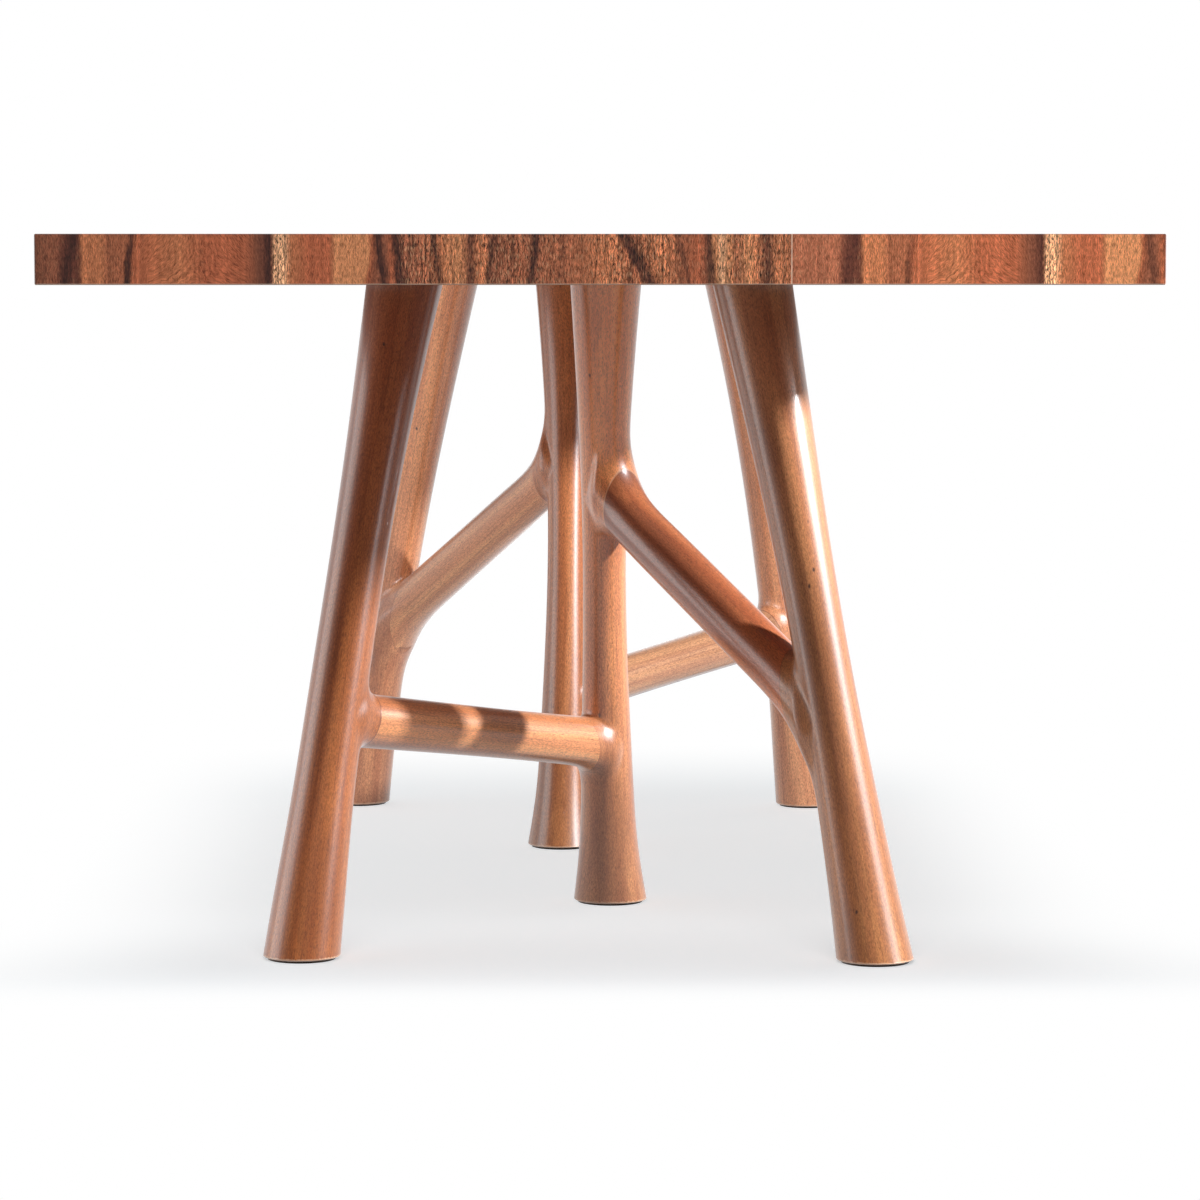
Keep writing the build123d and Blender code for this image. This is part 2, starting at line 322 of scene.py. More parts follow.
def skin(form, low, high):
    """A mesh of the surface where a field is zero: a vertex in each cell of a net it crosses."""
    counts = np.ceil((high - low) / net_spacing).astype(int) + 1
    axes = [low[i] + net_spacing * np.arange(counts[i]) for i in range(3)]
    grid_x, grid_y, grid_z = np.meshgrid(*axes, indexing="ij", sparse=True)
    values = form(grid_x, grid_y, grid_z).astype(np.float32)
    cells = counts - 1
    strides = np.array((cells[1] * cells[2], cells[2], 1))
    sums = np.zeros((4, cells.prod()))
    quads = []
    for axis in range(3):
        near = np.take(values, range(counts[axis] - 1), axis)
        far = np.take(values, range(1, counts[axis]), axis)
        edges = np.argwhere((near < 0) != (far < 0))
        sides = [a for a in range(3) if a != axis]
        inner = np.all([(edges[:, a] > 0) & (edges[:, a] < cells[a]) for a in sides], axis=0)
        edges = edges[inner]
        start, stop = near[tuple(edges.T)], far[tuple(edges.T)]
        points = low + net_spacing * edges
        points[:, axis] += net_spacing * start / (start - stop)
        around = []
        for back_first, back_second in ((1, 1), (0, 1), (0, 0), (1, 0)):
            cell = edges.copy()
            cell[:, sides[0]] -= back_first
            cell[:, sides[1]] -= back_second
            around.append(cell @ strides)
        for number in around:
            for part in range(3):
                sums[part] += np.bincount(number, points[:, part], sums.shape[1])
            sums[3] += np.bincount(number, minlength=sums.shape[1])
        around = np.array(around).T
        turned = (start < 0) == (axis == 1)
        around[turned] = around[turned][:, ::-1]
        quads.append(around)
    used = np.flatnonzero(sums[3])
    renumber = np.zeros(sums.shape[1], int)
    renumber[used] = np.arange(len(used))
    return (sums[:3, used] / sums[3, used]).T, renumber[np.concatenate(quads)]


def settle(points, form):
    """Move the points of a net onto the surface of its field."""
    step = 0.0002
    for _ in range(4):
        value = form(*points.T)
        slope = np.stack(
            [
                (form(*(points + step * axis).T) - form(*(points - step * axis).T)) / (2 * step)
                for axis in np.eye(3)
            ],
            axis=1,
        )
        steepness = np.maximum((slope**2).sum(1), 0.2)
        points = points - slope * (value / steepness)[:, None]
    return points


def skinned(form, low, high):
    """A bmesh of the surface of a field within a box."""
    points, quads = skin(form, low, high)
    points = settle(points, form)
    mesh = bmesh.new()
    for point in points:
        mesh.verts.new(point)
    mesh.verts.ensure_lookup_table()
    for quad in quads:
        mesh.faces.new([mesh.verts[i] for i in quad])
    return mesh


def cut(mesh, point, normal, touches, chamfer_towards=None):
    """Cut a mesh by a plane, only where touches says so, drop what the normal points to, cap it.

    With chamfer_towards, the rim is drawn in towards that point first.
    """
    chosen = [v for v in mesh.verts if touches(v.co)]
    faces = {f for v in chosen for f in v.link_faces}
    edges = {e for f in faces for e in f.edges}
    verts = {v for f in faces for v in f.verts}
    done = bmesh.ops.bisect_plane(
        mesh,
        geom=[*faces, *edges, *verts],
        dist=1e-6,
        plane_co=Vector(point),
        plane_no=Vector(normal),
        clear_outer=True,
    )
    rim = [e for e in done["geom_cut"] if isinstance(e, bmesh.types.BMEdge) and e.is_boundary]
    if chamfer_towards is not None:
        grown = bmesh.ops.extrude_edge_only(mesh, edges=rim)["geom"]
        for v in (g for g in grown if isinstance(g, bmesh.types.BMVert)):
            inward = (Vector(chamfer_towards) - v.co).normalized()
            v.co += (inward + Vector(normal)) * foot_chamfer
        rim = [g for g in grown if isinstance(g, bmesh.types.BMEdge) and g.is_boundary]
    caps = bmesh.ops.holes_fill(mesh, edges=rim, sides=0)["faces"]
    bmesh.ops.triangulate(mesh, faces=caps)


def finished_mesh(mesh, name):
    """A bmesh as a mesh with soft shading, and with crisp edges round its caps."""
    bmesh.ops.dissolve_degenerate(mesh, dist=1e-6, edges=mesh.edges)
    bmesh.ops.recalc_face_normals(mesh, faces=mesh.faces)
    data = bpy.data.meshes.new(name)
    mesh.to_mesh(data)
    mesh.free()
    data.polygons.foreach_set("use_smooth", np.ones(len(data.polygons), bool))
    data.set_sharp_from_angle(angle=math.radians(50))
    return data


def vertex_places(data):
    places = np.zeros(len(data.vertices) * 3, np.float32)
    data.vertices.foreach_get("co", places)
    return places.reshape(-1, 3).astype(float)


def note_grain(data, across, along):
    """Keep each vertex's place in its own piece of timber: across the grain and along it."""
    grain = data.attributes.new("timber_place", "FLOAT_VECTOR", "POINT")
    values = np.column_stack([across, along]).astype(np.float32)
    grain.data.foreach_set("vector", values.ravel())


def note_glue_lines(data, places, own_joints):
    """Keep each vertex's distance from the piece's own joints, and how that glue line shows."""
    far = 1.0
    glue_reach = 0.03
    nearest = np.full(len(places), far)
    tone = np.zeros(len(places))
    for one in own_joints:
        distance = np.abs(past_joint(one, *places.T))
        close = near_branch(one.branch, *places.T, branch_room) & (distance < glue_reach)
        nearest = np.where(close, distance, nearest)
        tone = np.where(close, one.glue_tone, tone)
    for name, values in (("from_glue_line", nearest), ("glue_tone", tone)):
        kept = data.attributes.new(name, "FLOAT", "POINT")
        kept.data.foreach_set("value", values.astype(np.float32))


def note_tone_and_painted_light(data, low_tint, high_tint):
    """Keep this piece's tint at its low end and at its high end: partly its timber's own tone, partly
    painted light and shade.
    """
    heights = vertex_places(data)[:, 2:]
    share = (heights - heights.min()) / np.ptp(heights)
    tints = np.array(low_tint) + share * (np.array(high_tint) - np.array(low_tint))
    shade = data.attributes.new("timber_tint", "FLOAT_VECTOR", "POINT")
    shade.data.foreach_set("vector", tints.astype(np.float32).ravel())


def leg_mesh(leg):
    heights = np.linspace(foot_level, underside_level, 30)
    plan = np.column_stack(leg_plan(leg, heights))
    wide = leg_radius(leg, heights)[:, None] + 2 * net_spacing
    room = 0.045
    own_joints = [one for one in joints if one.leg is leg]
    low = np.append((plan - wide).min(0), foot_level - 3 * net_spacing)
    high = np.append((plan + wide).max(0), underside_level + 3 * net_spacing)
    for one in own_joints:
        low = np.minimum(low, one.origin - room)
        high = np.maximum(high, one.origin + room)
    high[2] = underside_level + 3 * net_spacing

    def own_form(x, y, z):
        solid = trestle_field(x, y, z)
        for one in own_joints:
            beyond = past_joint(one, x, y, z) - skin_overlap
            close = near_branch(one.branch, x, y, z, branch_room + 0.01)
            solid = np.where(close, np.maximum(solid, beyond), solid)
        return solid

    mesh = skinned(own_form, low, high)
    for one in own_joints:
        cut(
            mesh,
            one.origin,
            one.normal,
            lambda place, one=one: past_joint(one, *place) > -cut_reach
            and near_branch(one.branch, *place, branch_room),
        )
    cut(mesh, (0, 0, underside_level), (0, 0, 1), lambda place: place.z > underside_level - cut_reach)
    rim_level = foot_level + foot_chamfer
    foot_middle = leg_middle(leg, rim_level)
    cut(mesh, foot_middle, (0, 0, -1), lambda place: place.z < rim_level + cut_reach, foot_middle)
    data = finished_mesh(mesh, f"{leg.name}_leg")
    places = vertex_places(data)
    across = places[:, :2] - np.column_stack(leg_plan(leg, places[:, 2]))
    note_grain(data, across, (places[:, 2] - foot_level) / leg.steepness)
    note_glue_lines(data, places, own_joints)
    return data


def branch_mesh(branch):
    ends = [one for one in joints if one.branch is branch]
    room = 0.06
    low = np.minimum(ends[0].origin, ends[1].origin) - room
    high = np.maximum(ends[0].origin, ends[1].origin) + room

    def own_form(x, y, z):
        solid = trestle_field(x, y, z)
        for one in ends:
            solid = np.maximum(solid, -past_joint(one, x, y, z) - skin_overlap)
        close = near_branch(branch, x, y, z, branch_room)
        return np.where(close, solid, np.maximum(solid, 0.01))

    mesh = skinned(own_form, low, high)
    for one in ends:
        cut(mesh, one.origin, -one.normal, lambda place, one=one: past_joint(one, *place) < cut_reach)
    data = finished_mesh(mesh, f"{branch.name}_branch")
    places = vertex_places(data)
    along = along_branch(branch, *places.T)
    out = places - branch.start_point - along[:, None] * branch.direction
    sideways = np.cross(branch.direction, (0, 0, 1))
    sideways = sideways / np.linalg.norm(sideways)
    upwards = np.cross(sideways, branch.direction)
    note_grain(data, np.column_stack([out @ sideways, out @ upwards]), along)
    note_glue_lines(data, places, ends)
    return data


# from one piece's place in the timber to the next one's
next_timber = (1.37, 0.71, 2.13)


def turned(data, name, half_turns, timber_number):
    """A copy of a mesh, turned about Z in half turns, cut from its own piece of timber."""
    copy = data.copy()
    copy.name = name
    copy.transform(Matrix.Rotation(math.pi * half_turns, 4, "Z"))
    own_timber = copy.attributes["timber_place"]
    values = np.zeros(len(copy.vertices) * 3, np.float32)
    own_timber.data.foreach_get("vector", values)
    values = values.reshape(-1, 3) + timber_number * np.array(next_timber)
    own_timber.data.foreach_set("vector", values.astype(np.float32).ravel())
    return copy


# ------------------------------------------------------------------------------ node helpers
class Nodes:
    """Short words for building a material's node tree."""

    def __init__(self, tree):
        self.tree = tree

    def new(self, kind, **settings):
        node = self.tree.nodes.new(kind)
        for name, value in settings.items():
            setattr(node, name, value)
        return node

    def feed(self, socket, value):
        """Link a socket's output to an input, or set the input to a plain value."""
        if isinstance(value, bpy.types.NodeSocket):
            self.tree.links.new(value, socket)
        else:
            socket.default_value = value

    def math(self, operation, *values, clamp=False):
        node = self.new("ShaderNodeMath", operation=operation, use_clamp=clamp)
        for socket, value in zip(node.inputs, values):
            self.feed(socket, value)
        return node.outputs[0]

    def times(self, first, second):
        return self.math("MULTIPLY", first, second)

    def less(self, first, second):
        return self.math("SUBTRACT", first, second)

    def larger(self, first, second):
        return self.math("MAXIMUM", first, second)

    def size(self, value):
        return self.math("ABSOLUTE", value)

    def ramp(self, value, low, high, to_low=0.0, to_high=1.0):
        """A value's smooth rise from to_low to to_high as it goes from low to high."""
        node = self.new("ShaderNodeMapRange", interpolation_type="SMOOTHSTEP")
        for socket, number in zip(node.inputs, (value, low, high, to_low, to_high)):
            self.feed(socket, number)
        return node.outputs[0]

    def vector(self, operation, *values):
        node = self.new("ShaderNodeVectorMath", operation=operation)
        for socket, value in zip(node.inputs, values):
            self.feed(socket, value)
        return node.outputs["Value" if operation in ("DOT_PRODUCT", "LENGTH", "DISTANCE") else "Vector"]

    def parts(self, vector):
        node = self.new("ShaderNodeSeparateXYZ")
        self.feed(node.inputs[0], vector)
        return node.outputs

    def place(self, x, y, z):
        node = self.new("ShaderNodeCombineXYZ")
        for socket, value in zip(node.inputs, (x, y, z)):
            self.feed(socket, value)
        return node.outputs[0]

    def noise(self, vector, scale=1.0, detail=2.0, roughness=0.5, distortion=0.0):
        node = self.new("ShaderNodeTexNoise")
        self.feed(node.inputs["Vector"], vector)
        self.feed(node.inputs["Scale"], scale)
        self.feed(node.inputs["Detail"], detail)
        self.feed(node.inputs["Roughness"], roughness)
        self.feed(node.inputs["Distortion"], distortion)
        return node.outputs["Fac"]

    def blend(self, share, first, second, mode="MIX"):
        """Mix two colours by a share."""
        node = self.new("ShaderNodeMix", data_type="RGBA", blend_type=mode)
        self.feed(node.inputs["Factor"], share)
        self.feed(node.inputs["A"], first)
        self.feed(node.inputs["B"], second)
        return next(s for s in node.outputs if s.type == "RGBA")

    def shade(self, colour, share):
        """A colour made lighter or darker by a share."""
        return self.blend(1.0, colour, self.place(share, share, share), "MULTIPLY")

    def stretched_noise(self, place, stretch, detail, roughness, distortion=0.0):
        """Noise whose grains are as fine along each axis as its stretch says."""
        return self.noise(self.vector("MULTIPLY", place, stretch), 1.0, detail, roughness, distortion)

    def bump(self, height, distance, strength=1.0):
        node = self.new("ShaderNodeBump")
        self.feed(node.inputs["Height"], height)
        self.feed(node.inputs["Distance"], distance)
        self.feed(node.inputs["Strength"], strength)
        return node.outputs[0]


def linear(red, green, blue):
    """A colour given in screen values from 0 to 255, as a linear colour."""
    shares = [value / 255 for value in (red, green, blue)]
    return (*[s / 12.92 if s <= 0.04045 else ((s + 0.055) / 1.055) ** 2.4 for s in shares], 1.0)


def new_material(name, **settings):
    """A material with one Principled shader, whose plain settings are given by socket name."""
    material = bpy.data.materials.new(name)
    material.use_nodes = True
    tree = Nodes(material.node_tree)
    shader = material.node_tree.nodes["Principled BSDF"]
    for socket, value in settings.items():
        shader.inputs[socket.replace("_", " ")].default_value = value
    return material, tree, shader


# --------------------------------------------------------------------------------- leg wood
# Pin knots, by trestle, leg, height and bearing: the degrees from -Y, turning towards +X.
pin_knots = (
    ("front", left_leg, 0.646, -15),
    ("front", middle_leg, 0.609, -32),
    ("front", right_leg, 0.409, 12),
    ("front", right_leg, 0.392, -3),
    ("front", right_leg, 0.056, -20),
    ("rear", right_leg, 0.514, -6),
    ("rear", right_leg, 0.183, 5),
)


def knot_place(trestle, leg, height, bearing):
    side = 1 if trestle == "front" else -1
    x, y = leg_plan(leg, height)
    turn = math.radians(bearing)
    out = leg_radius(leg, height)
    return side * x + out * math.sin(turn), side * y - out * math.cos(turn), height


leg_tones = {
    "honey": linear(200, 126, 80),
    "russet": linear(178, 104, 64),
    "umber": linear(134, 72, 43),
    "pore": linear(86, 42, 26),
    "knot": linear(52, 28, 22),
    "dark glue": linear(70, 34, 24),
    "pale glue": linear(214, 150, 112),
    "worn rim": linear(214, 168, 134),
}


def leg_wood():
    """Lacquered red-brown timber with its grain along the piece it was carved from."""
    material, tree, shader = new_material(
        "leg_wood",
        Roughness=0.42,
        Specular_IOR_Level=0.45,
        Coat_Weight=1.0,
        Coat_Roughness=0.22,
        Sheen_Weight=0.3,
        Sheen_Roughness=0.4,
    )
    timber = tree.new("ShaderNodeAttribute", attribute_name="timber_place").outputs["Vector"]
    tint = tree.new("ShaderNodeAttribute", attribute_name="timber_tint").outputs["Vector"]
    seam = tree.new("ShaderNodeAttribute", attribute_name="from_glue_line").outputs["Fac"]
    glue_tone = tree.new("ShaderNodeAttribute", attribute_name="glue_tone").outputs["Fac"]
    place = tree.new("ShaderNodeTexCoord").outputs["Object"]
    _, _, height = tree.parts(place)

    # broad soft streaks and clouds, then fibres and pores, each longer along the grain
    streak = tree.stretched_noise(timber, (75.0, 75.0, 1.5), 2.0, 0.5)
    fine_streak = tree.stretched_noise(timber, (330.0, 330.0, 7.0), 2.0, 0.55)
    cloud = tree.stretched_noise(timber, (17.0, 17.0, 4.0), 2.0, 0.5)
    speckle = tree.stretched_noise(timber, (820.0, 820.0, 300.0), 2.0, 0.7)
    pore = tree.stretched_noise(timber, (1150.0, 1150.0, 210.0), 1.0, 0.5)

    colour = tree.blend(tree.ramp(streak, 0.34, 0.66), leg_tones["russet"], leg_tones["honey"])
    colour = tree.blend(tree.ramp(cloud, 0.45, 0.70, 0.0, 0.60), colour, leg_tones["umber"])
    colour = tree.blend(tree.ramp(fine_streak, 0.5, 0.72, 0.0, 0.44), colour, leg_tones["umber"])
    grain = tree.ramp(speckle, 0.30, 0.70, 0.73, 1.26)
    colour = tree.shade(colour, grain)
    pores = tree.ramp(pore, 0.60, 0.70)
    colour = tree.blend(tree.times(pores, 0.50), colour, leg_tones["pore"])
    # each piece's tint: partly its timber's own tone, partly painted light and shade
    colour = tree.blend(1.0, colour, tint, "MULTIPLY")

    # pin knots: the listed ones, and small ones strewn through the timber
    knots = tree.new("ShaderNodeTexVoronoi")
    tree.feed(knots.inputs["Vector"], tree.vector("MULTIPLY", timber, (30.0, 30.0, 12.0)))
    knots.inputs["Scale"].default_value = 1.0
    chosen = tree.math("GREATER_THAN", tree.parts(knots.outputs["Color"])[0], 0.62)
    knot = tree.times(chosen, tree.ramp(knots.outputs["Distance"], 0.022, 0.05, 0.8, 0.0))
    for one in pin_knots:
        out = tree.vector("MULTIPLY", tree.vector("SUBTRACT", place, knot_place(*one)), (1.0, 1.0, 0.6))
        near = tree.ramp(tree.vector("LENGTH", out), 0.0007, 0.0020, 1.0, 0.0)
        knot = tree.larger(knot, near)
    colour = tree.blend(tree.times(knot, 0.9), colour, leg_tones["knot"])

    # the glue line round each joint, and the pale rim where a foot's finish has worn off
    line = tree.times(tree.ramp(seam, 0.0002, 0.0009, 1.0, 0.0), glue_tone)
    glue = tree.larger(line, 0.0)
    pale_glue = tree.larger(tree.times(line, -1.0), 0.0)
    colour = tree.blend(glue, colour, leg_tones["dark glue"])
    colour = tree.blend(pale_glue, colour, leg_tones["pale glue"])
    chips = tree.noise(place, 210.0, 2.0, 0.6)
    worn_height = tree.math("MULTIPLY_ADD", chips, 0.004, foot_level + 0.0003)
    worn = tree.ramp(tree.less(height, worn_height), -0.0006, 0.0006, 0.75, 0.0)
    colour = tree.blend(worn, colour, leg_tones["worn rim"])
    tree.feed(shader.inputs["Base Color"], colour)

    relief = tree.less(tree.times(speckle, 0.5), pores)
    relief = tree.less(relief, tree.times(tree.larger(knot, glue), 4.0))
    tree.feed(shader.inputs["Normal"], tree.bump(relief, 0.00010, 0.30))
    return material


# -------------------------------------------------------------------------------- top veneer
veneer_tones = {
    "ink": linear(50, 24, 20),
    "bark": linear(98, 53, 40),
    "umber": linear(128, 75, 54),
    "russet": linear(150, 88, 61),
    "rose": linear(168, 92, 62),
    "amber": linear(180, 110, 74),
    "honey": linear(198, 131, 89),
    "cream": linear(216, 162, 122),
    "pale arris highlight and wear": linear(236, 206, 182),
}

# The figure of one leaf: its tone at places across it, in millimetres from its left side.
leaf_figure = (
    (0, "umber"),
    (34, "umber"),
    (44, "bark"),
    (57, "bark"),
    (61, "amber"),
    (78, "amber"),
    (84, "russet"),
    (101, "russet"),
    (110, "rose"),
    (150, "amber"),
    (176, "rose"),
    (210, "rose"),
    (224, "umber"),
    (239, "bark"),
    (242, "cream"),
    (250, "cream"),
    (256, "amber"),
    (272, "rose"),
    (293, "rose"),
    (298, "honey"),
    (329, "honey"),
    (333, "rose"),
    (338, "umber"),
    (346, "umber"),
    (350, "rose"),
    (362, "umber"),
    (388, "russet"),
    (399, "amber"),
    (414, "honey"),
    (423, "umber"),
    (436, "amber"),
)
leaf_figure_right = (
    (436, "amber"),
    (446, "umber"),
    (470, "russet"),
    (486, "umber"),
    (497, "russet"),
    (520, "russet"),
    (556, "amber"),
    (580, "russet"),
    (604, "amber"),
    (624, "russet"),
    (640, "rose"),
    (650, "umber"),
    (657, "honey"),
    (663, "cream"),
    (669, "honey"),
    (676, "russet"),
    (688, "honey"),
    (695, "amber"),
    (704, "umber"),
    (714, "amber"),
    (724, "amber"),
    (729, "russet"),
)
# How coarse the leaf is across its width, from 0 to 1: coarse veneer has deep scales and pale flecks.
leaf_coarseness = (
    (0, 0.15),
    (100, 0.15),
    (110, 0.30),
    (120, 0.05),
    (236, 0.05),
    (242, 0.80),
    (252, 0.60),
    (258, 0.05),
    (350, 0.05),
    (364, 0.85),
    (388, 0.80),
    (402, 0.45),
    (424, 0.45),
    (446, 0.75),
    (494, 0.60),
    (530, 0.35),
    (572, 0.85),
    (604, 0.85),
    (628, 0.25),
    (648, 0.30),
    (662, 0.55),
    (690, 0.65),
    (729, 0.55),
)

# Dark veins, in millimetres: where each one's middle is at the top arris of the front end and
# at its bottom arris, how far it fades out to the left and to the right, and its strength.
dark_veins = (
    (54, 46, 13, 6, 0.80),
    (107, 102, 5, 6, 1.00),
    (228, 228, 9, 6, 0.40),
    (236, 235, 8, 4, 0.90),
    (337, 343, 4, 9, 1.00),
    (354, 359, 7, 9, 1.00),
    (391, 397, 6, 5, 0.75),
    (407, 409, 2, 2.5, 0.40),
    (425, 424, 5, 7, 0.50),
    (447, 442, 5, 5, 0.60),
    (466, 462, 4, 4, 0.30),
    (489, 480, 7, 5, 0.85),
    (513, 512, 5, 8, 0.25),
    (567, 593, 7, 17, 1.00),
    (619, 631, 3, 6, 0.55),
    (650, 655, 6, 5, 0.72),
    (679, 684, 2.5, 4, 0.40),
    (703, 708, 8, 8, 0.50),
    (721, 721, 2.5, 4, 0.35),
)


def figure_ramp(tree, place, stops):
    """What is at a place across the leaf, in metres, between stops given in millimetres."""
    first, last = stops[0][0], stops[-1][0]
    share = tree.math("DIVIDE", tree.less(place, first / 1000), (last - first) / 1000)
    node = tree.new("ShaderNodeValToRGB")
    tree.feed(node.inputs[0], share)
    elements = node.color_ramp.elements
    while len(elements) < len(stops):
        elements.new(0.5)
    for element, (millimetres, value) in zip(elements, stops):
        element.position = (millimetres - first) / (last - first)
        element.color = veneer_tones[value] if isinstance(value, str) else (value, value, value, 1.0)
    return node.outputs[0]


def veneer(name, leaf_start, sister_leaf=0.0, folds_over_sides=False):
    """Figured veneer, its grain along the top and folded down over the ends or the sides."""
    material, tree, shader = new_material(
        name, Roughness=0.42, Coat_Weight=0.2, Coat_Roughness=0.16, Specular_IOR_Level=0.30
    )
    place = tree.new("ShaderNodeTexCoord").outputs["Object"]
    x, y, z = tree.parts(place)
    drop = tree.less(top_level, z)
    if folds_over_sides:
        x = tree.math("ADD", x, tree.times(tree.math("SIGN", x), drop))
    else:
        y = tree.math("ADD", y, tree.times(tree.math("SIGN", y), drop))
    from_front = tree.math("ADD", y, half_length)
    across = tree.size(tree.less(x, leaf_start))
    # the next leaf of the flitch differs a little from the one before it
    drift = tree.ramp(across, 0.11, 0.22, -0.007 * sister_leaf, 0.001 * sister_leaf)
    across = tree.math("ADD", across, drift)

    def pattern(across_scale, along_scale, seed, detail=2.0, roughness=0.5, at=across):
        spot = tree.place(tree.times(at, across_scale), tree.times(y, along_scale), seed)
        return tree.noise(spot, 1.0, detail, roughness)

    def shifted(at, shift, amount):
        return tree.math("ADD", at, tree.times(tree.less(shift, 0.5), amount))

    # the figure wanders sideways along the top, and hardly at all at its front end
    wide_wander = tree.ramp(from_front, 0.0, 0.60, 0.0, 0.11)
    figure = shifted(across, pattern(2.3, 1.4, 0.0), wide_wander)
    figure = shifted(figure, pattern(24.0, 7.0, 1.0), tree.ramp(from_front, 0.0, 0.20, 0.006, 0.030))
    down = tree.math("DIVIDE", from_front, -edge_height, clamp=True)
    # the golden band's right side hooks back towards the bottom of the front end
    hooked = tree.times(tree.ramp(figure, 0.308, 0.328), tree.ramp(figure, 0.332, 0.342, 1.0, 0.0))
    hook = tree.times(hooked, tree.ramp(down, 0.4, 1.0, 0.0, 0.004))
    figure = tree.math("ADD", hook, figure)
    banding = shifted(figure, pattern(150.0, 26.0, 2.0, 3.0, 0.6), 0.0070)
    tooth = shifted(banding, pattern(420.0, 60.0, 3.0, 2.0, 0.7), 0.0060)

    left_tone = figure_ramp(tree, tooth, leaf_figure)
    right_tone = figure_ramp(tree, tooth, leaf_figure_right)
    split = leaf_figure[-1][0] / 1000
    colour = tree.blend(tree.math("GREATER_THAN", tooth, split), left_tone, right_tone)

    # fine streaks in the tone, each as wide as a few fibres
    streaks = pattern(210.0, 5.0, 4.0, 3.0, 0.6, figure)
    shade = tree.ramp(streaks, 0.30, 0.72, 0.80, 1.20)
    colour = tree.shade(colour, shade)

    # dark veins, which run aslant down the front end
    veins = 0.0
    for top, bottom, left_fade, right_fade, strength in dark_veins:
        middle = tree.math("MULTIPLY_ADD", down, (bottom - top) / 1000, top / 1000)
        off = tree.less(tooth, middle)
        left = tree.ramp(off, -left_fade / 1000, 0.0)
        vein = tree.times(left, tree.ramp(off, right_fade / 1000, 0.0, 0.0, strength * 0.96))
        veins = tree.larger(veins, tree.math("MULTIPLY", vein, 1.3, clamp=True))
    frayed = pattern(620.0, 75.0, 5.0, 2.0, 0.6)
    veins = tree.times(veins, tree.ramp(frayed, 0.28, 0.56, 0.62, 1.0))
    vein_strength = 0.95 - 0.42 * sister_leaf
    colour = tree.blend(tree.times(veins, vein_strength), colour, veneer_tones["ink"])

    # short wavy scales, light and dark, which fan out in the red heart of the leaf
    coarse = figure_ramp(tree, figure, leaf_coarseness)
    heart = tree.less(figure, 0.168)
    in_heart = tree.ramp(tree.size(heart), 0.045, 0.062, 1.0, 0.0)
    lean = tree.times(tree.times(heart, in_heart), 16.0)
    fanned = tree.math("MULTIPLY_ADD", lean, tree.math("MINIMUM", from_front, 0.05), across)
    waved = shifted(fanned, pattern(110.0, 110.0, 6.0), 0.0050)
    scales = pattern(900.0, 185.0, 7.0, 3.0, 0.75, waved)
    depth = tree.ramp(coarse, 0.0, 0.8, 1.00, 2.40)
    shade = tree.math("MULTIPLY_ADD", tree.ramp(scales, 0.30, 0.70, -0.5, 0.5), depth, 1.0)
    colour = tree.shade(colour, shade)
    # and long fibres, where it is coarse
    fibres = tree.ramp(pattern(560.0, 32.0, 11.0, 2.0, 0.6, banding), 0.32, 0.68, -0.80, 0.80)
    shade = tree.math("MULTIPLY_ADD", fibres, coarse, 1.0)
    colour = tree.shade(colour, shade)

    # pale flecks where the leaf is coarse, and pores all over
    fleck = pattern(950.0, 130.0, 8.0, 1.0, 0.5, waved)
    flecks = tree.times(tree.ramp(fleck, 0.54, 0.68, 0.0, 0.75), coarse)
    flecks = tree.times(flecks, tree.math("MULTIPLY_ADD", veins, -0.8, 1.0))
    colour = tree.blend(flecks, colour, veneer_tones["cream"])
    pores = tree.ramp(pattern(1400.0, 150.0, 10.0, 1.0, 0.5, waved), 0.58, 0.69)
    colour = tree.blend(tree.times(pores, 0.95), colour, (0.50, 0.42, 0.38, 1.0), "MULTIPLY")
    # the right leaf is made paler all over
    paler = tuple(1.0 + sister_leaf * more for more in (0.46, 0.46, 0.40)) + (1.0,)
    colour = tree.blend(1.0, colour, paler, "MULTIPLY")
    start = tree.ramp(across, 0.030, 0.045, 1.0 + 0.5 * sister_leaf, 1.0)
    colour = tree.shade(colour, start)

    # the edges' arrises: dark glue lines at the ends; at the top a dark line that is partly a glue line
    # and partly painted shade; a painted highlight along the bottom; and a pale worn line at the seam
    # of the two leaves
    on_edge = tree.ramp(drop, 0.0001, 0.0003)
    # the top arris's dark line is partly a glue line, partly painted shade
    top_arris_glue_and_shade = tree.ramp(drop, 0.0004, 0.0012, 0.65, 0.0)
    end_arris = tree.ramp(tree.size(x), half_width - 0.0014, half_width - 0.0005, 0.0, 0.55)
    glue = tree.times(tree.larger(top_arris_glue_and_shade, end_arris), on_edge)
    colour = tree.blend(glue, colour, veneer_tones["ink"])
    # a pale painted highlight along the bottom arris; the seam's pale line uses the same colour
    bottom_arris_highlight = tree.ramp(tree.less(z, underside_level), 0.0006, 0.0014, 0.80, 0.0)
    seam = tree.ramp(across, leaf_width - 0.0012, leaf_width - 0.0006, 0.0, 0.85)
    pale = tree.larger(bottom_arris_highlight, tree.times(seam, on_edge))
    colour = tree.blend(pale, colour, veneer_tones["pale arris highlight and wear"])
    tree.feed(shader.inputs["Base Color"], colour)
    relief = tree.less(tree.times(scales, 0.5), pores)
    tree.feed(shader.inputs["Normal"], tree.bump(relief, 0.00008, 0.3))
    return material


